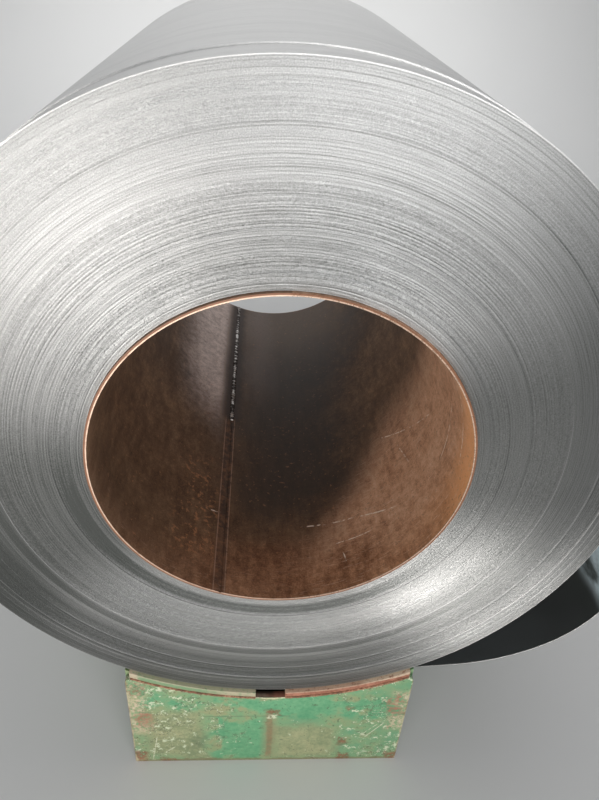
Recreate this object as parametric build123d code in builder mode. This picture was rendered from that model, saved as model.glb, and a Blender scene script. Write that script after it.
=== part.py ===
"""Coil of cold-rolled steel strip on a welded sleeve, lying in its plate saddle.

Millimetres. X is to the right, Y runs along the coil's axis away from the near end, Z is up.
The origin is on the floor, below the middle of the coil.
"""
import os
from math import copysign, cos, radians, sin

from build123d import *

# Sleeve that the strip is wound on
bore_radius = 254.0
sleeve_wall = 4.0
sleeve_stand_out = 5.0
seam_angle = -109.5
seam_groove_width = 4.0
seam_groove_depth = 1.2

# Wound strip
coil_radius = 497.5
strip_width = 945.0
strip_thickness = 1.5
winding_gap = 0.4
band_depth = 1.0

# Outermost lap, which has slipped along the coil and whose end has sprung away from it
lap_set_back = 70.0
lap_start_angle = 270.0
lift_angle = 13.8
end_clearance = 0.4

# Saddle, welded up from plate
saddle_width = 492.0
saddle_height = 216.0
saddle_overhang = 6.0
end_plate = 12.0
side_plate = 12.0
bed_plate = 12.0
bed_set_in = 9.0
bed_gap = 51.0
rib_plate = 12.0
base_plate = 15.0
shoulder_round = 12.0
seat_clearance = 0.3

# Edges of the bands of laps that stand a little in or out on the ends, as shares of the wound depth
band_edges = (0.09, 0.18, 0.3, 0.52, 0.74, 0.85)

# Bends of the loose end from where it leaves the coil: radius as a share of the coil's, and turn
loose_bends = ((1.76, 12.5), (1.11, -20.7), (0.48, -63.0), (0.69, -26.7))

# Radii and heights that follow
sleeve_radius = bore_radius + sleeve_wall
winding_radius = sleeve_radius + winding_gap
bed_radius = coil_radius + strip_thickness + seat_clearance
bed_underside = bed_radius + bed_plate
axis_height = saddle_height + bed_radius
half_width = saddle_width / 2
half_gap = bed_gap / 2
bed_end = half_width - bed_set_in
floor = -axis_height
base_top = floor + base_plate

# Places along the axis that follow
near_end = -strip_width / 2
saddle_near = near_end - saddle_overhang
saddle_length = strip_width + 2 * saddle_overhang
inner_near = saddle_near + end_plate
inner_length = saddle_length - 2 * end_plate


def end_plane(y):
    """Plane across the coil at y, as seen from the near end, with its origin on the axis."""
    return Plane(origin=(0, y, axis_height), x_dir=(1, 0, 0), z_dir=(0, -1, 0))


def polar(radius, angle):
    """Point at a radius and an angle in degrees about the axis."""
    return (radius * cos(radians(angle)), radius * sin(radians(angle)))


def end_profile(level, inward):
    """Section of one end of the winding, whose bands of laps lie flush and stepped in by turns."""
    depth = coil_radius - winding_radius
    edges = [winding_radius + share * depth for share in (0, *band_edges, 1)]
    points = []
    for index, (inner, outer) in enumerate(zip(edges, edges[1:])):
        y = level + inward * band_depth * (index % 2)
        points += [(inner, y), (outer, y)]
    return points


def lap_line(outward):
    """Outermost lap's line at a distance outside its inner face, from its start to its free end."""
    piece = CenterArc((0, 0), coil_radius + outward, lap_start_angle, lift_angle - lap_start_angle)
    start = piece @ 0
    for share, turn in loose_bends:
        radius = share * coil_radius - copysign(outward, turn)
        piece = JernArc(piece @ 1, piece % 1, radius, turn)
    heading = piece % 1
    run = (half_width + end_clearance - (piece @ 1).X) / heading.X
    piece = Line(piece @ 1, piece @ 1 + heading * run)
    return start, piece @ 1


def plate_under_round(left, right, bottom, radius):
    """Section of an upright plate from left to right, its top cut to a round about the axis."""
    with Locations(((left + right) / 2, bottom)):
        Rectangle(right - left, -bottom, align=(Align.CENTER, Align.MIN))
    Circle(radius, mode=Mode.SUBTRACT)


# Sleeve: a rolled plate with a butt seam along the bottom, a little longer than the strip is wide
with BuildPart() as sleeve:
    with BuildSketch(end_plane(near_end - sleeve_stand_out)):
        Circle(sleeve_radius)
        Circle(bore_radius, mode=Mode.SUBTRACT)
        with Locations(polar(bore_radius, seam_angle)):
            Rectangle(2 * seam_groove_depth, seam_groove_width, rotation=seam_angle, mode=Mode.SUBTRACT)
    extrude(amount=-(strip_width + 2 * sleeve_stand_out))
sleeve.part.label = "sleeve"
pieces = [sleeve.part]

# Coil: the wound strip as one turned solid, with the bands of laps that show on its ends
with BuildPart() as coil:
    with BuildSketch(Plane(origin=(0, 0, axis_height), x_dir=(1, 0, 0), z_dir=(0, 0, 1))):
        with BuildLine():
            near_points = end_profile(near_end, 1)
            far_points = end_profile(near_end + strip_width, -1)
            Polyline(*near_points, *reversed(far_points), close=True)
        make_face()
    revolve(axis=Axis((0, 0, axis_height), (0, 1, 0)))

    # Outermost lap: tight from the bottom over the left and the top, then loose down the right,
    # where the bent end bears on the side of the saddle
    with BuildSketch(end_plane(near_end + lap_set_back)):
        with BuildLine():
            inner_start, inner_end = lap_line(0)
            outer_start, outer_end = lap_line(strip_thickness)
            Line(inner_start, outer_start)
            Line(inner_end, outer_end)
        make_face()
    extrude(amount=-strip_width)
coil.part.label = "coil"
pieces.append(coil.part)

# Saddle's end plates, cut out to the underside of the bed, with rounded shoulders
for side, y in (("near", saddle_near), ("far", saddle_near + saddle_length - end_plate)):
    with BuildPart() as cheek:
        with BuildSketch(end_plane(y)) as section:
            plate_under_round(-half_width, half_width, floor, bed_underside)
            fillet(section.vertices().group_by(Axis.Y)[-1], shoulder_round)
        extrude(amount=-end_plate)
    cheek.part.label = f"saddle_{side}_plate"
    pieces.append(cheek.part)

# Saddle's bed: two curved halves on top of the other plates, with a gap between them
for side, turn in (("left", -1), ("right", 1)):
    with BuildPart() as bed:
        with BuildSketch(end_plane(saddle_near)):
            Circle(bed_underside)
            Circle(bed_radius, mode=Mode.SUBTRACT)
            with Locations((turn * (bed_end + half_gap) / 2, floor)):
                Rectangle(bed_end - half_gap, -floor, align=(Align.CENTER, Align.MIN), mode=Mode.INTERSECT)
        extrude(amount=-saddle_length)
    bed.part.label = f"saddle_bed_{side}"
    pieces.append(bed.part)

# Upright plates under the bed: one at each side and one along each edge of the gap
uprights = {
    "saddle_side_left": (-half_width, -half_width + side_plate),
    "saddle_rib_left": (-half_gap - rib_plate, -half_gap),
    "saddle_rib_right": (half_gap, half_gap + rib_plate),
    "saddle_side_right": (half_width - side_plate, half_width),
}
for name, (left, right) in uprights.items():
    with BuildPart() as upright:
        with BuildSketch(end_plane(inner_near)):
            plate_under_round(left, right, base_top, bed_underside)
        extrude(amount=-inner_length)
    upright.part.label = name
    pieces.append(upright.part)

# Base plate between the end plates
with BuildPart() as base:
    with BuildSketch(end_plane(inner_near)):
        with Locations((0, floor)):
            Rectangle(saddle_width, base_plate, align=(Align.CENTER, Align.MIN))
    extrude(amount=-inner_length)
base.part.label = "saddle_base"
pieces.append(base.part)

os.makedirs("parts", exist_ok=True)
for piece in pieces:
    export_step(piece, f"parts/{piece.label}.step")
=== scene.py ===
"""Looks of the steel coil: the wound strip, its rusty welded sleeve and the worn green saddle.

Metres. X is to the right, Y runs along the coil away from the camera, Z is up. Angles round the
coil are in degrees from straight down, and grow to the right.
"""
import random
from functools import reduce
from math import cos, hypot, pi, radians, sin

import bmesh
import bpy
from mathutils import Matrix, Vector


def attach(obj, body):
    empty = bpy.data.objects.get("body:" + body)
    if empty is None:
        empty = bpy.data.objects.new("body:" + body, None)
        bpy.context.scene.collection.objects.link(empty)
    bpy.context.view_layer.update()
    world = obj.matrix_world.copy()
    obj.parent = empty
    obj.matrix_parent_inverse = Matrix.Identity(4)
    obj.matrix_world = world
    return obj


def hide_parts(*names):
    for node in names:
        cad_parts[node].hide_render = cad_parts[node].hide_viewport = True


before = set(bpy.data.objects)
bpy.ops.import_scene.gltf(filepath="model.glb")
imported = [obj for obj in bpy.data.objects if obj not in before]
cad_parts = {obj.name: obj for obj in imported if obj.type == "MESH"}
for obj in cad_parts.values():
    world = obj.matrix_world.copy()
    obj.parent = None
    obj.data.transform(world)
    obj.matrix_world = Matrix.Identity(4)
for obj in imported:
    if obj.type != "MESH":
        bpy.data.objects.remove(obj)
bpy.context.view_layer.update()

# Sizes of the coil, its sleeve and its saddle, as the solids have them
axis_height = 0.7153
bore_radius = 0.254
winding_radius = 0.2584
coil_radius = 0.4975
strip_thickness = 0.0015
near_end = -0.4725
far_end = 0.4725
sleeve_end = 0.4775
seam_angle = -19.5
plate_face = -0.4785
bed_underside = 0.5113
half_gap = 0.0255

# Outermost lap: where it leaves the coil, then its bends as radius over the coil's and turn
lap_set_back = 0.07
lift_angle = 103.8
loose_bends = ((1.76, 12.5), (1.11, -20.7), (0.48, -63.0), (0.69, -26.7))
lap_end_x = 0.2464

# Bands of laps on the ends: their edges as shares of the wound depth; every second band lies in.
# A band's last step starts once this much room or less is left, and steps differ a little in depth.
band_edges = (0.0, 0.09, 0.18, 0.3, 0.52, 0.74, 0.85, 1.0)
band_depth = 0.001
last_step_room = 0.0045
step_depth = 0.0003
ripple_pitch = 0.0034

# Welds
bead_radius = 0.0038
drop_length = 0.0016
drop_count = 320
drop_shape = (0.72, 1.0, 1.25, 1.05)
bed_weld_radius = 0.0021
bed_weld_span = (2.9, 27.4)
bed_weld_step = 0.35
weld_drift = 0.0004

# Rounding of the saddle's edges
edge_wear = 0.001

# Stage
floor_reach = 5.0
backdrop_foot = 3.5
backdrop_bend = 1.0
backdrop_rise = 4.0

axis_point = Vector((0, 0, axis_height))
along = Vector((0, 1, 0))
seen_turn = Vector((0, -1, 0))


# Materials

class Value:
    """A node's output, on which Python's operators add Math nodes."""

    def __init__(self, finish, socket):
        self.finish = finish
        self.socket = socket

    def math(self, operation, *terms):
        return self.finish.node("ShaderNodeMath", {"operation": operation}, dict(enumerate(terms)))

    def __add__(self, other):
        return self.math("ADD", self, other)

    def __sub__(self, other):
        return self.math("SUBTRACT", self, other)

    def __rsub__(self, other):
        return self.math("SUBTRACT", other, self)

    def __mul__(self, other):
        return self.math("MULTIPLY", self, other)

    def __truediv__(self, other):
        return self.math("DIVIDE", self, other)

    def __abs__(self):
        return self.math("ABSOLUTE", self)

    __radd__ = __add__
    __rmul__ = __mul__

    def most(self, other):
        return self.math("MAXIMUM", self, other)

    def wave(self):
        return self.math("SINE", self)

    def ease(self, start, end, low=0.0, high=1.0):
        """Goes smoothly from low at the start to high at the end, and stays there."""
        sockets = {"Value": self, "From Min": start, "From Max": end, "To Min": low, "To Max": high}
        return self.finish.node("ShaderNodeMapRange", {"interpolation_type": "SMOOTHSTEP"}, sockets)

    def near(self, centre, reach, soft=0.5):
        """1 about the centre and 0 beyond its reach on either side, soft over a share of the reach."""
        return abs(self - centre).ease(reach * (1 - soft), reach, 1.0, 0.0)

    def inside(self, low, high, soft):
        """1 between low and high, and soft at both."""
        reach = (high - low) / 2 + soft / 2
        return self.near((low + high) / 2, reach, soft / reach)


class Nodes:
    """A node tree and a way to add to it."""

    def __init__(self, tree):
        self.tree = tree

    def node(self, kind, settings=None, sockets=None, output=0):
        """Adds a node, sets its settings and then its sockets, and gives one of its outputs."""
        node = self.tree.nodes.new(kind)
        for name, value in (settings or {}).items():
            if name == "stops":
                stops = node.color_ramp.elements
                while len(stops) < len(value):
                    stops.new(0.5)
                for stop, (position, tint) in zip(stops, value):
                    stop.position = position
                    stop.color = (*tint, 1.0)
            else:
                setattr(node, name, value)
        for name, value in (sockets or {}).items():
            if isinstance(value, Value):
                self.tree.links.new(value.socket, node.inputs[name])
            else:
                node.inputs[name].default_value = value
        return node if output is None else Value(self, node.outputs[output])


class Finish(Nodes):
    """A material with one Principled shader, whose tint is laid on coat by coat."""

    def __init__(self, name, **constants):
        self.material = bpy.data.materials.new(name)
        self.material.use_nodes = True
        super().__init__(self.material.node_tree)
        self.tree.nodes.clear()
        self.shader = self.tree.nodes.new("ShaderNodeBsdfPrincipled")
        output = self.tree.nodes.new("ShaderNodeOutputMaterial")
        self.tree.links.new(self.shader.outputs[0], output.inputs[0])
        for socket, value in constants.items():
            self.shader.inputs[socket.replace("_", " ")].default_value = value
        place = self.node("ShaderNodeTexCoord", output=None)
        self.place = Value(self, place.outputs["Object"])
        self.x, self.y, self.z = self.parts(self.place)

    def parts(self, vector):
        node = self.node("ShaderNodeSeparateXYZ", sockets={0: vector}, output=None)
        return [Value(self, socket) for socket in node.outputs]

    def vector(self, x, y, z=0.0):
        return self.node("ShaderNodeCombineXYZ", sockets={0: x, 1: y, 2: z})

    def noise(self, place, scale, detail=2.0, rough=0.5):
        """Noise about 0.5 at a place in space."""
        sockets = {"Vector": place, "Scale": scale, "Detail": detail, "Roughness": rough}
        return self.node("ShaderNodeTexNoise", sockets=sockets)

    def noise_along(self, value, scale, detail=2.0, rough=0.5):
        """Noise about 0.5 that changes with one value only."""
        sockets = {"W": value, "Scale": scale, "Detail": detail, "Roughness": rough}
        return self.node("ShaderNodeTexNoise", {"noise_dimensions": "1D"}, sockets)

    def mix(self, factor, first, second):
        """Mixes two colours, given as (red, green, blue) or as node outputs."""
        first, second = (c if isinstance(c, Value) else (*c, 1.0) for c in (first, second))
        return self.node("ShaderNodeMix", {"data_type": "RGBA"}, {0: factor, 6: first, 7: second}, output=2)

    def ramp(self, value, *stops):
        return self.node("ShaderNodeValToRGB", {"stops": stops}, {0: value})

    def coat(self, mask, tint):
        """Lays a tint over the coats that are there, as strongly as a mask says."""
        self.tint = self.mix(mask, self.tint, tint)

    def round_axis(self):
        """Radius about the coil's axis, and angle in degrees from straight down."""
        rise = self.z - axis_height
        square = self.x * self.x + rise * rise
        angle = self.node("ShaderNodeMath", {"operation": "ARCTAN2"}, {0: self.x, 1: 0 - rise})
        return square.math("SQRT", square), angle * (180 / pi)

    def patch(self, across_span, up_span, wobble, soft):
        """A patch between two places across and two heights, whose outline a wobble moves."""
        wide = abs(self.x - sum(across_span) / 2) - (across_span[1] - across_span[0]) / 2
        high = abs(self.z - sum(up_span) / 2) - (up_span[1] - up_span[0]) / 2
        return (wide.most(high) + wobble).ease(-soft, soft, 1.0, 0.0)

    def lean(self, normal, direction, amount):
        """A surface's direction, leaned towards another one by an amount, of which 1 is 45 degrees."""
        sockets = {"Vector": direction, "Scale": amount}
        aside = self.node("ShaderNodeVectorMath", {"operation": "SCALE"}, sockets)
        both = self.node("ShaderNodeVectorMath", {"operation": "ADD"}, {0: normal, 1: aside})
        return self.node("ShaderNodeVectorMath", {"operation": "NORMALIZE"}, {0: both})

    def set(self, **values):
        """Feeds varying values to the shader's sockets, and the tint to its colour."""
        for socket, value in {"Base_Color": self.tint, **values}.items():
            self.tree.links.new(value.socket, self.shader.inputs[socket.replace("_", " ")])

    def bump(self, height, strength, distance):
        """A normal that follows a height."""
        sockets = {"Strength": strength, "Distance": distance, "Height": height}
        return self.node("ShaderNodeBump", sockets=sockets)


def strongest(masks):
    return reduce(Value.most, masks)


def stroke(across, up, start, end, width):
    """A thin straight mark from start to end."""
    length = hypot(end[0] - start[0], end[1] - start[1])
    run = ((end[0] - start[0]) / length, (end[1] - start[1]) / length)
    middle = ((start[0] + end[0]) / 2, (start[1] + end[1]) / 2)
    side = abs((across - middle[0]) * run[1] - (up - middle[1]) * run[0])
    ahead = abs((across - middle[0]) * run[0] + (up - middle[1]) * run[1])
    return side.ease(width * 0.3, width, 1.0, 0.0) * ahead.ease(length * 0.35, length * 0.5, 1.0, 0.0)


class BrightStrip(Finish):
    """Bright cold-rolled strip: fine turns on the ends, a mirror-like outside with rolling lines."""

    def __init__(self):
        super().__init__("bright_strip", Metallic=1.0)
        self.radius, self.angle = self.round_axis()
        out_x, out_z = self.x / self.radius, (self.z - axis_height) / self.radius
        normal = self.node("ShaderNodeNewGeometry", output="Normal")
        end = abs(self.parts(normal)[1]).ease(0.5, 0.8)
        self.edge = self.radius.ease(coil_radius - 0.0012, coil_radius - 0.0009)
        self.above = abs(self.angle).ease(130.0, 165.0)

        # Patterns that follow the turns, about 0
        self.laps = self.noise_along(self.radius, 480.0, 2.0, 0.85) - 0.5
        self.groups = self.noise_along(self.radius, 90.0, 3.0, 0.75) - 0.5
        self.ripple = (self.radius * (2 * pi / ripple_pitch) + self.groups * 9.0).wave()
        turned_place = self.vector(out_x * 6.0, self.radius * 560.0, out_z * 6.0)
        self.glint = self.noise(turned_place, 1.0, 2.0, 0.8) - 0.5

        # Patterns on the outside: lines along the strip, and clouds
        rolled_place = self.vector(out_x * 1.2, self.y * 45.0, out_z * 1.2)
        rolled = self.noise(rolled_place, 1.0, 5.0, 0.65)
        clouds = self.noise(self.place, 2.2, 3.0, 0.5)
        self.tint = self.mix(clouds, (0.50, 0.50, 0.50), (0.62, 0.615, 0.61))
        self.coat(rolled.ease(0.45, 0.7) * 0.35, (0.38, 0.385, 0.40))
        # A painted highlight along the outer edge of the ends
        self.coat(self.edge * end, (0.8, 0.79, 0.77))

        # Tone of the ends, with painted sheen, highlights and shade laid into it
        shade = self.turn_shade() + self.single_lines() + self.painted_sheen_and_shade()
        dark, plain, bright = (0.12, 0.125, 0.118), (0.365, 0.365, 0.358), (0.70, 0.69, 0.675)
        self.coat(end, self.ramp(shade, (0.12, dark), (0.5, plain), (0.85, bright)))
        leaned = self.lean(normal, self.vector(out_x, 0.0, out_z), self.end_tilt() * end)
        self.set(Roughness=end * 0.14 + 0.17 + clouds * 0.06 + rolled * 0.09, Normal=leaned)

    def turn_shade(self):
        """Lap-to-lap tone of the ends, with painted sheen contrast and painted shade bands low down."""
        speckle = self.noise(self.place, 650.0, 1.0) - 0.5
        below = self.angle.near(-15.0, 85.0, 0.6)
        lower_right = self.angle.near(50.0, 50.0, 0.6)
        shade = self.laps * 0.35 + self.groups * (below * 0.4 + 0.1) + self.glint * 0.2
        shade = shade + speckle * 0.35 + self.ripple * 0.03 + 0.46
        # Bands of painted shade at given radii, at the bottom of the ends
        painted_shade_bands = self.radius.ease(0.404, 0.424) * 0.2 + self.radius.near(0.286, 0.016, 0.7) * 0.3
        painted_shade_bands = painted_shade_bands + self.radius.near(0.393, 0.009) * 0.14
        return shade + lower_right * (self.laps * 0.45 + self.ripple * 0.03) - below * painted_shade_bands

    def single_lines(self):
        """Single laps as painted highlights, mostly low down, and painted shade lines, faint at the top."""
        broad = self.noise(self.place, 5.0, 3.0, 0.55)
        darks = ((0.4372, 0.0012, 0.9), (0.3303, 0.001, 0.8), (0.3014, 0.0008, 0.6), (0.28, 0.0012, 0.7))
        lights = ((0.4345, 0.0012, 0.5), (0.3832, 0.001, 0.6), (0.4622, 0.0012, 0.8))
        lights += ((0.4705, 0.0009, 0.5), (0.4792, 0.0009, 0.5))
        dark, light = (
            reduce(Value.__add__, (self.radius.near(at, reach) * amount for at, reach, amount in lines))
            for lines in (darks, lights)
        )
        # Light laps are painted highlights, dark ones painted shade, and the outer edge a painted highlight
        light = light * 0.5 * broad.ease(0.2, 0.5) * abs(self.angle).ease(125.0, 75.0)
        return light + self.edge * 0.3 - dark * 0.25 * broad.ease(0.7, 0.4) * (1 - self.above * 0.75)

    def painted_sheen_and_shade(self):
        """Painted sheen and shade in parts round the ends; at the top, inner laps painted darker."""
        # Painted shade on the left and right parts of the ends
        beside = self.angle.near(98.0, 40.0, 0.7).most(self.angle.near(-76.0, 37.0, 0.7) * 1.3)
        shade = self.above * self.radius.ease(0.26, 0.48, -0.07, 0.02) - beside * 0.19
        for sector, ring, amount in (
            ((30.0, 40.0, 0.7), self.radius.near(0.333, 0.032, 0.8), 0.1),
            ((52.0, 30.0, 0.7), self.radius.near(0.40, 0.06, 0.6), -0.1),
            ((148.0, 26.0, 0.8), self.radius.ease(0.36, 0.28), 0.13),
            ((32.0, 24.0, 0.7), self.radius.ease(0.40, 0.43), 0.08),
            ((128.0, 22.0, 0.8), self.radius.ease(0.38, 0.42), -0.08),
        ):
            shade = shade + self.angle.near(*sector) * ring * amount
        return shade

    def end_tilt(self):
        """How far the ends lean outward, which spreads the lamps' light along the turns."""
        grit = self.noise(self.place, 2600.0, 1.0) - 0.5
        tilt = self.laps * (0.65 - self.above * 0.2) + self.ripple * 0.05 + self.glint * 0.4
        tilt = tilt + self.groups * 0.3 + grit * 2.6 + self.radius.ease(0.28, 0.48, -0.1, 0.1)
        return tilt - self.angle.near(52.0, 34.0, 0.8) * self.radius.ease(0.25, 0.40, 0.12, 0.42)


class ShadedLapInside(Finish):
    """Inner face of the loose lap: painted shade, darker than the strip, with a pale painted highlight."""

    def __init__(self):
        super().__init__("lap_inside_shade")
        streak_place = self.vector(self.x * 9.0, self.y * 1.5, self.z * 4.0)
        streaks = self.noise(streak_place, 5.0, 5.0, 0.6)
        lap_noise = self.noise(self.place, 3.0, 3.0, 0.5)
        # The pale bluish streak is a painted highlight
        dry = (self.z + (lap_noise - 0.5) * 0.06).inside(0.35, 0.47, 0.03)
        dry = dry * self.x.ease(0.5, 0.56) * streaks.ease(0.25, 0.5)
        # Painted shade: the inner face is tinted darker than the strip
        self.tint = self.mix(lap_noise, (0.13, 0.14, 0.14), (0.23, 0.24, 0.24))
        self.coat(dry, (0.78, 0.92, 1.0))
        self.set(Roughness=lap_noise * 0.2 + 0.25, Metallic=0.8 - dry * 0.7)


class RustySleeve(Finish):
    """Rolled plate under rust: a worn rim, a heat mark along the seam, scratches and pits."""

    # Scratches: degrees and metres along the coil at both ends, and width
    scratches = (
        ((10, -0.327), (32, -0.337), 0.00195),
        ((32, -0.337), (50, -0.364), 0.00195),
        ((47, -0.177), (81, -0.272), 0.0015),
        ((56, -0.225), (60, -0.300), 0.00135),
        ((75, -0.369), (97, -0.348), 0.0015),
        ((21, -0.381), (38, -0.382), 0.0015),
        ((25, -0.394), (27.5, -0.455), 0.00135),
        ((-28, -0.310), (-21, -0.308), 0.0018),
        ((84, -0.43), (112, -0.40), 0.0018),
    )

    def __init__(self):
        super().__init__("rusty_sleeve", Specular_IOR_Level=0.45)
        self.radius, self.angle = self.round_axis()
        self.broad = self.noise(self.place, 5.0, 4.0, 0.6)
        self.grain = self.noise(self.place, 65.0, 8.0, 0.8)
        self.pits = self.noise(self.place, 150.0, 3.0, 0.6)
        self.wobble = (self.broad - 0.5) * 60.0 + (self.grain - 0.5) * 30.0
        self.rust()
        self.patches()
        self.seam()
        self.worn_lines()
        self.rims()
        rough = 0.68 - self.right * 0.2 - self.grey * 0.25 - self.bore_shade * 0.12 - self.ends * 0.2
        height = self.grain * 0.6 + self.pits * 0.3 + self.flanks * 0.8 - self.lines * 0.4 + self.pitted * 0.5
        self.set(
            Roughness=rough + (self.grain - 0.5) * 0.3,
            Metallic=self.lip * 0.5 + self.right * 0.2 + self.grey * 0.3,
            Normal=self.bump(height, 0.45, 0.0009),
        )

    def rust(self):
        """Brown rust, red near the front, painted light on the right wall, painted shade in the middle."""
        y = self.y
        dust = self.noise(self.place, 420.0, 2.0, 0.6)
        rolled_place = self.vector(self.x * 60.0, y * 14.0, self.z * 60.0)
        rolled = self.noise(rolled_place, 1.0, 5.0, 0.7)
        rust = self.broad * 0.3 + self.grain * 0.4 + rolled * 0.3 + (dust - 0.5) * 0.22
        brown = (0.38, (0.055, 0.029, 0.015)), (0.5, (0.15, 0.083, 0.045)), (0.63, (0.30, 0.18, 0.10))
        pale = (0.38, (0.36, 0.17, 0.09)), (0.5, (0.74, 0.42, 0.255)), (0.64, (0.96, 0.67, 0.47))
        red = (0.40, (0.16, 0.065, 0.03)), (0.5, (0.38, 0.18, 0.09)), (0.60, (0.66, 0.34, 0.18))

        self.tint = self.ramp(rust, *brown)
        # Painted light: the right wall is paler up to the shadow edge of the near rim
        edge_y = self.angle.ease(-12.0, 62.0, -0.49, -0.16)
        ragged_y = y - edge_y + (self.broad - 0.5) * 0.16 + (self.grain - 0.5) * 0.05
        self.right = ragged_y.ease(0.09, -0.09)
        self.coat(self.right * 0.9, self.ramp(rust, *pale))
        # Orange rust by the near rim on the right, brightened as painted light
        orange = self.angle.near(100.0, 60.0, 0.8) * (y + (self.grain - 0.5) * 0.1).ease(-0.38, -0.47)
        self.coat(orange * 0.85, (0.98, 0.47, 0.20))
        ragged_y = y + (self.broad - 0.5) * 0.2 + (self.grain - 0.5) * 0.08
        low = self.angle.near(12.0, 80.0, 0.6) * ragged_y.ease(-0.34, -0.45)
        self.coat(low * self.angle.ease(-40.0, 15.0, 0.45, 0.85), self.ramp(rust, *red))
        low_left = (self.angle + self.wobble * 0.4).near(-62.0, 40.0, 0.7) * y.ease(-0.26, -0.42)
        self.coat(low_left * 0.35, (0.045, 0.026, 0.014))
        # Painted shade down the middle, where the painted light stops
        self.bore_shade = (self.angle + self.wobble).inside(-17.0, 42.0, 40.0)
        self.bore_shade = self.bore_shade * (y + (self.broad - 0.5) * 0.3).ease(-0.38, -0.24) * (1 - self.right)
        self.coat(self.bore_shade * 0.8, (0.036, 0.025, 0.018))
        self.coat(y.ease(0.12, 0.4) * self.angle.near(-10.0, 75.0, 0.5) * 0.6, (0.20, 0.14, 0.10))

    def patches(self):
        """A grey patch and a painted sheen beside the far half of the seam, pits beside the near half."""
        angle, wobble = self.angle, self.wobble
        grey = (angle + wobble * 0.3).ease(-58.0, -36.0) * (angle + wobble * 0.1).ease(-21.0, -28.0)
        self.grey = grey * (self.y + (angle + 36) * 0.003 + wobble * 0.0015).ease(-0.11, 0.10)
        # The grey patch's pale tint is partly a painted sheen of light from the far end
        bare = self.mix(self.grain.ease(0.35, 0.65), (0.48, 0.36, 0.32), (0.86, 0.70, 0.64))
        self.coat(self.grey * 0.85, bare)
        # A painted sheen to the right of the bead
        sheen = (angle + wobble * 0.2).inside(-14.0, -1.0, 12.0)
        self.coat(sheen * (self.y + wobble * 0.002).ease(-0.02, 0.16) * 0.35, (0.30, 0.24, 0.22))
        pitted = (angle + wobble * 0.3).inside(-39.0, -24.0, 9.0)
        pitted = pitted * (self.y + wobble * 0.001).inside(-0.43, -0.19, 0.08)
        self.pitted = pitted * self.noise(self.place, 95.0, 3.0, 0.7).ease(0.54, 0.62)
        self.coat(self.pitted * 0.8, (0.46, 0.215, 0.10))
        self.coat(self.pits.ease(0.62, 0.72) * 0.5, (0.46, 0.22, 0.11))
        dark_spots = self.noise(self.place, 210.0, 2.0, 0.6).ease(0.6, 0.72)
        self.coat(dark_spots * 0.45, (0.05, 0.028, 0.018))

    def seam(self):
        """Dark heat mark round the bead, and a rusty groove with pale flanks where it has none."""
        far_part = self.y.ease(-0.045, -0.02)
        near_part = 1 - far_part
        heat = (self.angle + (self.grain - 0.5) * 5.0).near(seam_angle, 6.5, 0.75) * far_part
        groove = (self.angle + (self.grain - 0.5) * 1.6).near(seam_angle - 0.6, 2.9, 0.4) * near_part
        self.flanks = self.angle.near(seam_angle - 2.6, 0.3) + self.angle.near(seam_angle + 1.5, 0.3)
        self.flanks = self.flanks * near_part
        self.coat(heat * 0.85 + groove * 0.5, (0.05, 0.034, 0.03))
        self.coat(groove * self.grain.ease(0.48, 0.6) * 0.7, (0.26, 0.125, 0.065))
        self.coat(self.flanks * 0.75 * self.grain.ease(0.35, 0.5), (0.42, 0.26, 0.18))

    def worn_lines(self):
        """Fine brushed lines round the right side, and single bright scratches."""
        metres = pi / 180 * bore_radius
        arc = self.angle * metres
        self.lines = strongest(
            stroke(arc, self.y, (start[0] * metres, start[1]), (end[0] * metres, end[1]), width)
            for start, end, width in self.scratches
        )
        brushed_place = self.vector(self.x * 40.0, self.y * 420.0, self.z * 40.0)
        # The brushed lines show pale only within the painted light of the right wall
        brushed = self.noise(brushed_place, 1.0, 3.0, 0.7).ease(0.56, 0.70) * self.right
        self.coat(brushed * 0.5, (0.90, 0.64, 0.47))
        dotted = self.noise(self.place, 110.0, 2.0, 0.6).ease(0.44, 0.56)
        self.coat(self.lines * dotted * 0.95, (1.0, 0.86, 0.72))

    def rims(self):
        """Rusty end faces with a bright worn lip at the bore."""
        self.ends = abs(self.y).ease(sleeve_end - 0.0009, sleeve_end - 0.0003)
        self.lip = self.radius.ease(bore_radius + 0.0018, bore_radius + 0.0012) * self.ends
        self.coat(self.ends, (0.24, 0.11, 0.06))
        self.coat(self.lip * self.grain.ease(0.3, 0.55, 0.4, 1.0), (0.80, 0.58, 0.44))


class WeldMetal(Finish):
    """Weld metal: painted shade between and beside its drops, painted highlights on its crests."""

    def __init__(self):
        super().__init__("weld_metal", Metallic=0.85)
        radius = self.round_axis()[0]
        speck = self.noise(self.place, 260.0, 3.0, 0.7)
        drop_place = self.vector(self.x * 0.4, self.y, self.z * 0.4)
        drops = self.noise(drop_place, 130.0, 2.0, 0.6)
        # The crests are a painted highlight, the sides of the drops painted shade
        crest = (bore_radius - radius).ease(0.0, 0.0022)
        ripple = (speck * 0.4 + drops * 0.6).ease(0.44, 0.62) * (crest * 0.75 + 0.25)
        dark, plain, bright = (0.05, 0.04, 0.036), (0.30, 0.265, 0.245), (0.90, 0.87, 0.84)
        self.tint = self.ramp(ripple, (0.05, dark), (0.35, plain), (0.8, bright))
        self.set(Roughness=speck * 0.3 + 0.25, Normal=self.bump(speck, 0.5, 0.0006))


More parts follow.
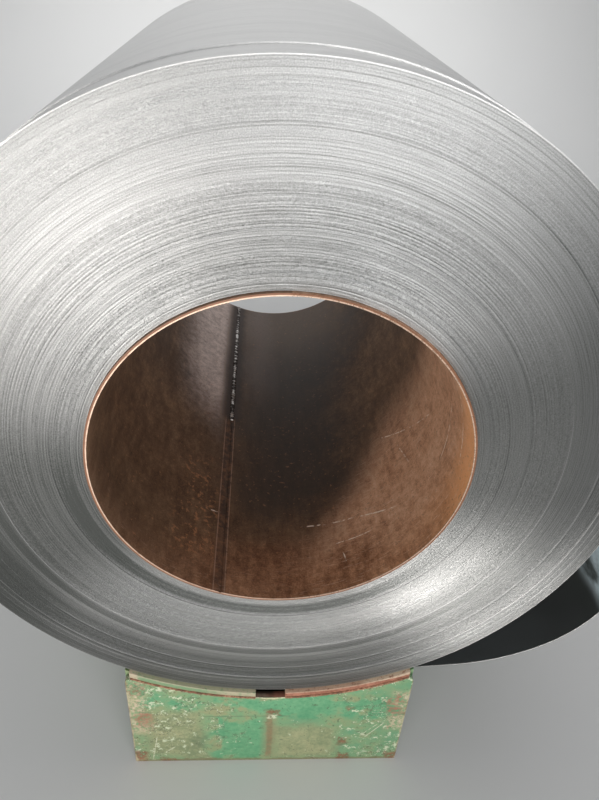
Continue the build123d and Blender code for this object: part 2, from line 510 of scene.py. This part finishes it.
class WornGreenPaint(Finish):
    """Green machine paint worn to khaki, chipped to its pale primer, with rust along the edges."""

    # Patches on the near plate, as their spans across and up
    teal_spans = (
        ((-0.100, -0.009), (0.010, 0.135)),
        ((-0.098, -0.074), (0.087, 0.155)),
        ((-0.095, 0.05), (0.163, 0.20)),
        ((0.017, 0.217), (0.156, 0.20)),
        ((0.171, 0.210), (0.137, 0.163)),
        ((-0.232, -0.196), (0.165, 0.21)),
        ((-0.168, -0.122), (0.160, 0.19)),
    )
    rust_spans = (
        ((-0.250, -0.221), (-0.01, 0.033)),
        ((-0.195, -0.168), (-0.01, 0.012)),
        ((0.225, 0.25), (-0.01, 0.024)),
        ((0.136, 0.148), (0.162, 0.172)),
        ((0.134, 0.150), (0.056, 0.074)),
        ((0.133, 0.152), (-0.01, 0.020)),
        ((-0.006, 0.016), (0.152, 0.163)),
    )

    # Marks on the near plate, as their ends and width
    rust_run = ((0.002, 0.0), (0.001, 0.172))
    scratches = (
        ((0.177, 0.072), (0.212, 0.125), 0.0016),
        ((-0.214, 0.004), (-0.201, 0.089), 0.0014),
        ((0.168, 0.078), (0.200, 0.120), 0.0012),
        ((-0.19, 0.03), (-0.17, 0.05), 0.0016),
    )

    def __init__(self):
        super().__init__("worn_green_paint", Specular_IOR_Level=0.4)
        self.radius = self.round_axis()[0]
        self.broad = self.noise(self.place, 9.0, 4.0, 0.6)
        self.blotch = self.noise(self.place, 32.0, 5.0, 0.7)
        self.fine = self.noise(self.place, 140.0, 4.0, 0.7)
        self.mottle = self.blotch * 0.5 + self.fine * 0.5
        self.ragged = (self.blotch - 0.5) * 0.05 + (self.fine - 0.5) * 0.02
        self.front = self.y.ease(-0.472, -0.470, 1.0, 0.0)
        self.greens()
        self.chipped()
        self.worn_corners()
        self.rusted()
        self.scratched()
        self.plate_edges()
        bed = self.radius.ease(bed_underside - 0.0004, bed_underside + 0.0002, 1.0, 0.0)
        self.coat(bed * self.front, self.bed_tint())
        height = self.fine * 0.35 + self.blotch * 0.5 - self.chips * 0.5 - self.cracks * 0.5
        height = height + self.rust * 0.4 - self.scratch * 0.4
        self.set(Roughness=self.fine * 0.3 + 0.38 + self.rust * 0.2, Normal=self.bump(height, 0.5, 0.0014))

    def greens(self):
        """Faded green, fresher teal patches and khaki ones."""
        wobble = (self.broad - 0.5) * 0.09 + (self.blotch - 0.5) * 0.08
        faded = (0.36, (0.12, 0.30, 0.165)), (0.5, (0.19, 0.32, 0.165)), (0.62, (0.28, 0.295, 0.155))
        fresh = (0.4, (0.07, 0.265, 0.13)), (0.6, (0.155, 0.385, 0.205))
        dry = (0.4, (0.19, 0.205, 0.105)), (0.62, (0.39, 0.38, 0.215))
        self.tint = self.ramp(self.broad * 0.4 + self.blotch * 0.6, *faded)
        teal = strongest(self.patch(*spans, wobble, 0.008) for spans in self.teal_spans)
        self.coat(teal * self.front * 0.85, self.ramp(self.mottle, *fresh))
        khaki = self.patch((0.012, 0.121), (0.007, 0.108), wobble, 0.012)
        khaki = khaki.most(self.patch((-0.225, -0.118), (0.02, 0.165), wobble, 0.014))
        self.coat(khaki * self.front * 0.8, self.ramp(self.mottle, *dry))

    def chipped(self):
        """Dark pits and cracks, and chips down to the pale primer, more of them towards the sides."""
        outer = abs(self.x).ease(0.08, 0.2)
        pits = self.noise(self.place, 170.0, 3.0, 0.6).ease(0.60, 0.68) * self.blotch.ease(0.42, 0.56)
        self.coat(pits * 0.8, (0.055, 0.08, 0.04))
        vein = self.noise(self.place, 26.0, 4.0, 0.65)
        cracked = (self.broad + outer * 0.1).ease(0.52, 0.60)
        self.cracks = abs(vein - 0.5).ease(0.004, 0.013, 1.0, 0.0) * cracked
        self.coat(self.cracks * 0.65, (0.09, 0.10, 0.05))
        flaking = (self.broad + outer * 0.12).ease(0.54, 0.62)
        flakes = abs(vein - 0.52).ease(0.003, 0.01, 1.0, 0.0) * flaking
        chips = (self.noise(self.place, 70.0, 5.0, 0.72) + outer * 0.07).ease(0.635, 0.67)
        self.chips = chips.most(flakes * self.fine.ease(0.45, 0.55))
        self.coat(self.chips * 0.9, self.mix(self.fine, (0.44, 0.52, 0.34), (0.68, 0.72, 0.52)))

    def worn_corners(self):
        """Bare and pinkish wear at the upper corners of the near plate."""
        worn = self.patch((-0.25, -0.212), (0.09, 0.25), self.ragged * 1.4, 0.008)
        worn = worn.most(self.patch((0.214, 0.25), (0.10, 0.22), self.ragged * 1.4, 0.008))
        bare = self.ramp(self.blotch, (0.42, (0.25, 0.15, 0.085)), (0.54, (0.58, 0.46, 0.32)))
        grainy = self.fine.ease(0.42, 0.56)
        self.coat(worn * grainy * self.front * 0.8, bare)
        pink = self.patch((-0.237, -0.204), (0.112, 0.169), self.ragged * 1.2, 0.006)
        pink = pink.most(self.patch((0.212, 0.232), (0.16, 0.205), self.ragged * 1.5, 0.007))
        self.coat(pink * self.front * grainy * 0.75, (0.33, 0.155, 0.095))

    def rusted(self):
        """A rust run down the middle with a halo, rust spots, a faint seam and a dark mark."""
        self.rust = stroke(self.x + (self.blotch - 0.5) * 0.012, self.z, *self.rust_run, 0.008)
        self.rust = self.rust * (self.fine * 0.7 + self.blotch * 0.4)
        spots = strongest(self.patch(*spans, self.ragged, 0.005) for spans in self.rust_spans)
        self.rust = self.rust.most(spots * self.fine.ease(0.36, 0.52))
        seam = self.patch((-0.116, 0.037), (0.1455, 0.1475), self.ragged * 0.08, 0.002) * 0.6
        mark = self.patch((-0.137, -0.116), (0.044, 0.078), self.ragged * 0.8, 0.006)
        halo = stroke(self.x, self.z, *self.rust_run, 0.02) * 0.45
        self.coat(halo * self.front, (0.27, 0.24, 0.13))
        self.coat((seam + mark * 0.35) * self.front, (0.07, 0.12, 0.065))
        rust_tint = self.ramp(self.mottle, (0.4, (0.12, 0.05, 0.022)), (0.62, (0.34, 0.165, 0.095)))
        self.coat(self.rust * self.front * 0.9, rust_tint)

    def scratched(self):
        """Pale scratches, and a pale blob at the top of the rust run."""
        blob = self.patch((-0.004, 0.013), (0.138, 0.150), self.ragged * 0.4, 0.003)
        self.scratch = strongest(stroke(self.x, self.z, *mark) for mark in self.scratches)
        pale = blob * self.fine.ease(0.42, 0.55) + self.scratch * self.fine.ease(0.4, 0.5) * 0.8
        self.coat(pale * self.front, (0.62, 0.64, 0.46))

    def plate_edges(self):
        """Pale wear along the cut-out and the sides, dirt at the foot, painted shade in the bed's gap."""
        radius = self.radius - (self.blotch - 0.5) * 0.012
        rim = radius.inside(bed_underside + 0.0002, bed_underside + 0.0034, 0.002)
        self.coat(rim * self.front * (self.fine.ease(0.38, 0.5) * 0.85 + 0.1), (0.62, 0.60, 0.40))
        side = (abs(self.x) + (self.blotch - 0.5) * 0.014).ease(0.2425, 0.2445)
        side = side * (self.y + (self.fine - 0.5) * 0.01).ease(-0.468, -0.473)
        bare = self.ramp(self.blotch, (0.45, (0.24, 0.14, 0.08)), (0.55, (0.52, 0.44, 0.30)))
        self.coat(side * 0.7, bare)
        foot = (self.z + (self.blotch - 0.5) * 0.03).ease(0.004, 0.009, 1.0, 0.0)
        self.coat(foot * 0.6, (0.19, 0.12, 0.06))
        # Painted shade on the plate's top edge where it shows in the bed's gap, reddish rust to the right
        gap = abs(self.x).ease(half_gap + 0.001, half_gap - 0.001)
        gap = gap * self.radius.ease(bed_underside + 0.0012, bed_underside + 0.0004)
        self.coat(gap, self.mix(self.x.ease(0.002, 0.01), (0.06, 0.038, 0.027), (0.19, 0.075, 0.05)))

    def bed_tint(self):
        """Near edge of the bed: green on the left, red primer on the right, cream in patches and along its
        top.
        """
        green = self.mix(self.fine, (0.14, 0.25, 0.13), (0.27, 0.36, 0.21))
        red = self.ramp(self.mottle, (0.4, (0.22, 0.085, 0.05)), (0.6, (0.44, 0.205, 0.135)))
        low = (self.radius + (self.fine - 0.5) * 0.005).ease(0.5088, 0.5100)
        tint = self.mix(self.x.ease(0.0, 0.01).most(low), green, red)
        middle = (self.x + (self.blotch - 0.5) * 0.06).ease(-0.12, -0.07) * self.x.ease(0.0, -0.01) * 0.75
        corner = (self.x + (self.fine - 0.5) * 0.02).ease(-0.219, -0.226)
        top = (self.radius + (self.blotch - 0.5) * 0.005).ease(0.5018, 0.5010) * 0.6
        rising = self.radius + (self.fine - 0.5) * 0.002 - self.x.ease(0.15, 0.237, 0.0, 0.005)
        right = rising.ease(0.5000, 0.4992) * self.x.ease(0.14, 0.17)
        cream = strongest((middle, corner, top, right))
        return self.mix(cream * self.fine.ease(0.3, 0.5) * 0.85, tint, (0.54, 0.43, 0.31))


class RustyWeld(Finish):
    """Rusty weld along the underside of the bed."""

    def __init__(self):
        super().__init__("rusty_weld")
        lumps = self.noise(self.place, 160.0, 3.0, 0.7)
        blotch = self.noise(self.place, 45.0, 3.0, 0.6)
        rust = (0.38, (0.10, 0.045, 0.022)), (0.52, (0.25, 0.115, 0.06)), (0.66, (0.48, 0.30, 0.18))
        self.tint = self.ramp(lumps * 0.6 + blotch * 0.4, *rust)
        self.set(Roughness=lumps * 0.3 + 0.5, Normal=self.bump(lumps, 0.6, 0.0012))


class PaleFloor(Finish):
    """Plain pale floor and backdrop, faintly clouded."""

    def __init__(self):
        super().__init__("pale_floor", Roughness=0.75)
        cloud = self.noise(self.place, 0.8, 2.0, 0.5)
        self.tint = self.mix(cloud, (0.80, 0.80, 0.79), (0.76, 0.76, 0.755))
        self.set()


# Pieces

def made_of(result, kind, key="geom"):
    """The vertices, edges or faces among what an operator made."""
    return [part for part in result[key] if isinstance(part, kind)]


def drawn_out(mesh, face):
    """Extrudes a tube's end face and drops the old one; gives the new face and its corners."""
    made = bmesh.ops.extrude_face_region(mesh, geom=face)
    bmesh.ops.delete(mesh, geom=face, context="FACES_ONLY")
    return made_of(made, bmesh.types.BMFace), made_of(made, bmesh.types.BMVert)


def mesh_object(mesh, name, materials):
    """Makes an object of a bmesh and puts it in the scene."""
    data = bpy.data.meshes.new(name)
    mesh.to_mesh(data)
    mesh.free()
    for material in materials:
        data.materials.append(material)
    piece = bpy.data.objects.new(name, data)
    bpy.context.scene.collection.objects.link(piece)
    return piece


def finish_mesh(mesh, name, materials, nodes=(), sharp=35):
    """Makes a piece of a bmesh, smooth but for its sharp edges, on the coil's one body."""
    bmesh.ops.remove_doubles(mesh, verts=mesh.verts, dist=1e-6)
    bmesh.ops.recalc_face_normals(mesh, faces=mesh.faces)
    for face in mesh.faces:
        face.smooth = True
    for edge in mesh.edges:
        edge.smooth = edge.calc_face_angle(pi) < radians(sharp)
    piece = mesh_object(mesh, name, materials)
    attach(piece, "root")
    if nodes:
        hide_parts(*nodes)


def end_steps(seed):
    """Steps of one end of the winding, a few laps wide each: inner radius, outer radius and depth.

    Where they have passed a band's edge, the band's last step runs back to it.
    """
    chance = random.Random(seed)
    wound_depth = coil_radius - winding_radius
    steps = []
    for index, (inner, outer) in enumerate(zip(band_edges, band_edges[1:])):
        radius = winding_radius + inner * wound_depth
        stop = winding_radius + outer * wound_depth
        level = band_depth * (index % 2)
        while radius < stop - last_step_room:
            width = strip_thickness * chance.choice((1, 2, 3, 3, 4, 5))
            steps.append((radius, radius + width, level + chance.uniform(0.0, step_depth)))
            radius += width
        steps.append((radius, stop, level + chance.uniform(0.0, step_depth)))
    return steps


def winding():
    """The wound strip: the section of its laps, spun round the axis."""
    near = [(radius, near_end + depth) for *edges, depth in end_steps(3) for radius in edges]
    far = [(radius, far_end - depth) for *edges, depth in end_steps(8) for radius in edges]
    outline = near + far[::-1]
    mesh = bmesh.new()
    first = last = mesh.verts.new((outline[0][0], outline[0][1], axis_height))
    for radius, y in outline[1:]:
        made = bmesh.ops.extrude_vert_indiv(mesh, verts=[last])
        last = made["verts"][0]
        last.co = (radius, y, axis_height)
    mesh.edges.new((last, first))
    section = mesh.verts[:] + mesh.edges[:]
    bmesh.ops.spin(mesh, geom=section, cent=axis_point, axis=along, angle=2 * pi, steps=200, use_merge=True)
    finish_mesh(mesh, "coil_winding", [strip], ["coil"])


def outermost_lap():
    """The lap that has slipped along the coil: tight round most of it, then loose down the right."""
    mesh = bmesh.new()
    start = axis_point + along * (near_end + lap_set_back)
    inner = mesh.verts.new(start + Vector((0, 0, -coil_radius)))
    outer = mesh.verts.new(start + Vector((0, 0, -coil_radius - strip_thickness)))
    end = [inner, outer, mesh.edges.new((inner, outer))]
    place = inner.co.copy()
    heading = Vector((-1, 0, 0))
    for share, bend in ((1.0, lift_angle - 360), *loose_bends):
        aside = Matrix.Rotation(radians(90 if bend > 0 else -90), 3, seen_turn) @ heading
        centre = place + aside * share * coil_radius
        angle, steps = radians(bend), max(6, round(abs(bend) / 2))
        made = bmesh.ops.spin(mesh, geom=end, cent=centre, axis=seen_turn, angle=angle, steps=steps)
        end = made["geom_last"]
        turn = Matrix.Rotation(angle, 3, seen_turn)
        place = centre + turn @ (place - centre)
        heading = turn @ heading
    made = bmesh.ops.extrude_edge_only(mesh, edges=made_of(made, bmesh.types.BMEdge, "geom_last"))
    run = (lap_end_x - place.x) / heading.x
    bmesh.ops.translate(mesh, verts=made_of(made, bmesh.types.BMVert), vec=heading * run)
    made = bmesh.ops.extrude_face_region(mesh, geom=mesh.faces[:])
    bmesh.ops.translate(mesh, verts=made_of(made, bmesh.types.BMVert), vec=along * (far_end - near_end))
    bmesh.ops.recalc_face_normals(mesh, faces=mesh.faces)

    # The loose stretch has painted shade on the face that looks at the coil
    for face in mesh.faces:
        outward = face.calc_center_median() - axis_point
        outward.y = 0
        loose = outward.length > coil_radius + 0.001
        face.material_index = 1 if loose and face.normal.dot(outward) < -0.1 * outward.length else 0
    finish_mesh(mesh, "coil_outermost_lap", [strip, lap_shade], ["coil"])


def weld_bead():
    """Bead of the sleeve's seam, a row of drops from the far end to a little short of the middle."""
    chance = random.Random(5)
    down = Vector((sin(radians(seam_angle)), 0, -cos(radians(seam_angle))))
    place = axis_point + down * (bore_radius + 0.0002) + along * (sleeve_end - 0.001)
    lie = Matrix.Translation(place) @ Matrix.Rotation(radians(-seam_angle), 4, along)
    flat = Matrix.Diagonal((1, 1, 0.5, 1)) @ Matrix.Rotation(pi / 2, 4, "X")
    mesh = bmesh.new()
    bmesh.ops.create_circle(mesh, cap_ends=True, segments=12, radius=bead_radius, matrix=lie @ flat)
    face = mesh.faces[:]
    size = 1.0
    for count in range(drop_count):
        face, rim = drawn_out(mesh, face)
        bmesh.ops.translate(mesh, verts=rim, vec=along * -drop_length)
        wanted = drop_shape[count % len(drop_shape)] * chance.uniform(0.8, 1.2)
        space = (Matrix.Translation(along * (-drop_length * (count + 1))) @ lie).inverted()
        bmesh.ops.scale(mesh, vec=(wanted / size, 1, wanted / size), space=space, verts=rim)
        size = wanted
    finish_mesh(mesh, "sleeve_weld_bead", [bead], sharp=60)


def bed_weld(side, seed, start, end):
    """Weld between the near plate and one half of the bed, along the bed's underside."""
    chance = random.Random(seed)
    to_start = Matrix.Rotation(radians(start), 3, seen_turn)
    place = axis_point + to_start @ Vector((0, 0, -bed_underside - 0.0006)) + along * plate_face
    lie = Matrix.Translation(place) @ to_start.to_4x4() @ Matrix.Rotation(pi / 2, 4, "Y")
    mesh = bmesh.new()
    bmesh.ops.create_circle(mesh, cap_ends=True, segments=10, radius=bed_weld_radius, matrix=lie)
    face = mesh.faces[:]
    count = round(abs(end - start) / bed_weld_step)
    turn = Matrix.Rotation(radians((end - start) / count), 3, seen_turn)
    strayed = Vector()
    for _ in range(count):
        face, rim = drawn_out(mesh, face)
        bmesh.ops.rotate(mesh, verts=rim, cent=axis_point, matrix=turn)
        stray = Vector((0, chance.uniform(-weld_drift, weld_drift), chance.uniform(-weld_drift, weld_drift)))
        bmesh.ops.translate(mesh, verts=rim, vec=stray - strayed)
        strayed = stray
    finish_mesh(mesh, f"saddle_bed_weld_{side}", [joint], sharp=60)


def worn_plate(node):
    """A copy of a saddle plate with its edges rounded a little."""
    mesh = bmesh.new()
    mesh.from_mesh(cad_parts[node].data)
    bmesh.ops.remove_doubles(mesh, verts=mesh.verts, dist=1e-5)
    bmesh.ops.dissolve_limit(mesh, angle_limit=radians(0.5), verts=mesh.verts, edges=mesh.edges)
    edges = [edge for edge in mesh.edges if edge.calc_face_angle(0) > radians(40)]
    bmesh.ops.bevel(mesh, geom=edges, offset=edge_wear, segments=2, profile=0.5, affect="EDGES", material=-1)
    finish_mesh(mesh, f"{node}_worn", [paint], [node])


strip = BrightStrip().material
lap_shade = ShadedLapInside().material
rusty = RustySleeve().material
bead = WeldMetal().material
paint = WornGreenPaint().material
joint = RustyWeld().material

for name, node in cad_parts.items():
    node.data.materials.clear()
    node.data.materials.append({"coil": strip, "sleeve": rusty}.get(name, paint))
winding()
outermost_lap()
weld_bead()
bed_weld("left", 11, -bed_weld_span[1], -bed_weld_span[0])
bed_weld("right", 12, *bed_weld_span)
for name in ("saddle_near_plate", "saddle_bed_left", "saddle_bed_right"):
    worn_plate(name)


# Stage, lights and camera

def studio_floor():
    """A pale floor that turns up into a pale backdrop behind the coil."""
    mesh = bmesh.new()
    ends = [mesh.verts.new((x, -floor_reach, 0)) for x in (-floor_reach, floor_reach)]
    made = bmesh.ops.extrude_edge_only(mesh, edges=[mesh.edges.new(ends)])
    ends = made_of(made, bmesh.types.BMVert)
    bmesh.ops.translate(mesh, verts=ends, vec=(0, floor_reach + backdrop_foot, 0))
    edge = mesh.edges.get(ends)
    centre = (0, backdrop_foot, backdrop_bend)
    made = bmesh.ops.spin(mesh, geom=[*ends, edge], cent=centre, axis=(1, 0, 0), angle=pi / 2, steps=16)
    made = bmesh.ops.extrude_edge_only(mesh, edges=made_of(made, bmesh.types.BMEdge, "geom_last"))
    bmesh.ops.translate(mesh, verts=made_of(made, bmesh.types.BMVert), vec=(0, 0, backdrop_rise))
    bmesh.ops.recalc_face_normals(mesh, faces=mesh.faces)
    for face in mesh.faces:
        face.smooth = True
    floor = mesh_object(mesh, "studio_floor", [PaleFloor().material])


def soft_light(name, place, target, size, brightness, spread, tint=(1, 1, 1)):
    """A rectangular lamp with its brightness per area and the angle that its light spreads to."""
    lamp = bpy.data.lights.new(name, "AREA")
    lamp.shape = "RECTANGLE"
    lamp.size, lamp.size_y = size
    lamp.energy = brightness * pi * size[0] * size[1]
    lamp.spread = radians(spread)
    lamp.color = tint
    light = bpy.data.objects.new(name, lamp)
    bpy.context.scene.collection.objects.link(light)
    light.location = place
    light.rotation_euler = (Vector(target) - Vector(place)).to_track_quat("-Z", "Y").to_euler()


def studio_world():
    """Cool pale surroundings, brighter where they are seen or mirrored than where they light."""
    world = bpy.data.worlds.new("studio_world")
    world.use_nodes = True
    sky = Nodes(world.node_tree)
    path = sky.node("ShaderNodeLightPath", output=None)
    rays = [Value(sky, path.outputs[f"Is {kind} Ray"]) for kind in ("Camera", "Glossy", "Transmission")]
    background = world.node_tree.nodes["Background"]
    background.inputs["Color"].default_value = (0.93, 0.96, 1.0, 1.0)
    strength = strongest(rays).ease(0.0, 1.0, 0.18, 0.55)
    world.node_tree.links.new(strength.socket, background.inputs["Strength"])
    return world


def photo_camera():
    """The camera where the photographer's was, looking down into the bore."""
    lens = bpy.data.cameras.new("photo_camera")
    lens.sensor_fit = "HORIZONTAL"
    lens.sensor_width = 36.0
    lens.lens = 41.155
    camera = bpy.data.objects.new("photo_camera", lens)
    right = Vector((0.9975, -0.0425, 0.0561))
    up = Vector((-0.0225, 0.5625, 0.8265))
    back = Vector((-0.0667, -0.8257, 0.5602))
    stand = Matrix.Translation((-0.0404, -1.1736, 1.3021))
    camera.matrix_world = stand @ Matrix((right, up, back)).transposed().to_4x4()
    bpy.context.scene.collection.objects.link(camera)
    return camera


studio_floor()
coil_face = (0, -0.4, 0.7)
soft_light("low_left", (-0.84, -2.5, 0.45), coil_face, (1.2, 0.85), 1.85, 66, (1.0, 0.97, 0.94))
soft_light("wide_front", (0.75, -3.2, 1.3), coil_face, (1.9, 1.7), 1.25, 90)
soft_light("overhead", (0.0, 1.8, 4.4), (0, 1.8, 0), (6.0, 5.0), 0.5, 150)
soft_light("backdrop_wash", (0.0, 0.9, 3.4), (0, 4.5, 0.9), (3.5, 1.4), 2.2, 90)
bpy.context.scene.world = studio_world()
bpy.context.scene.camera = photo_camera()
bpy.context.scene.view_settings.view_transform = "Standard"
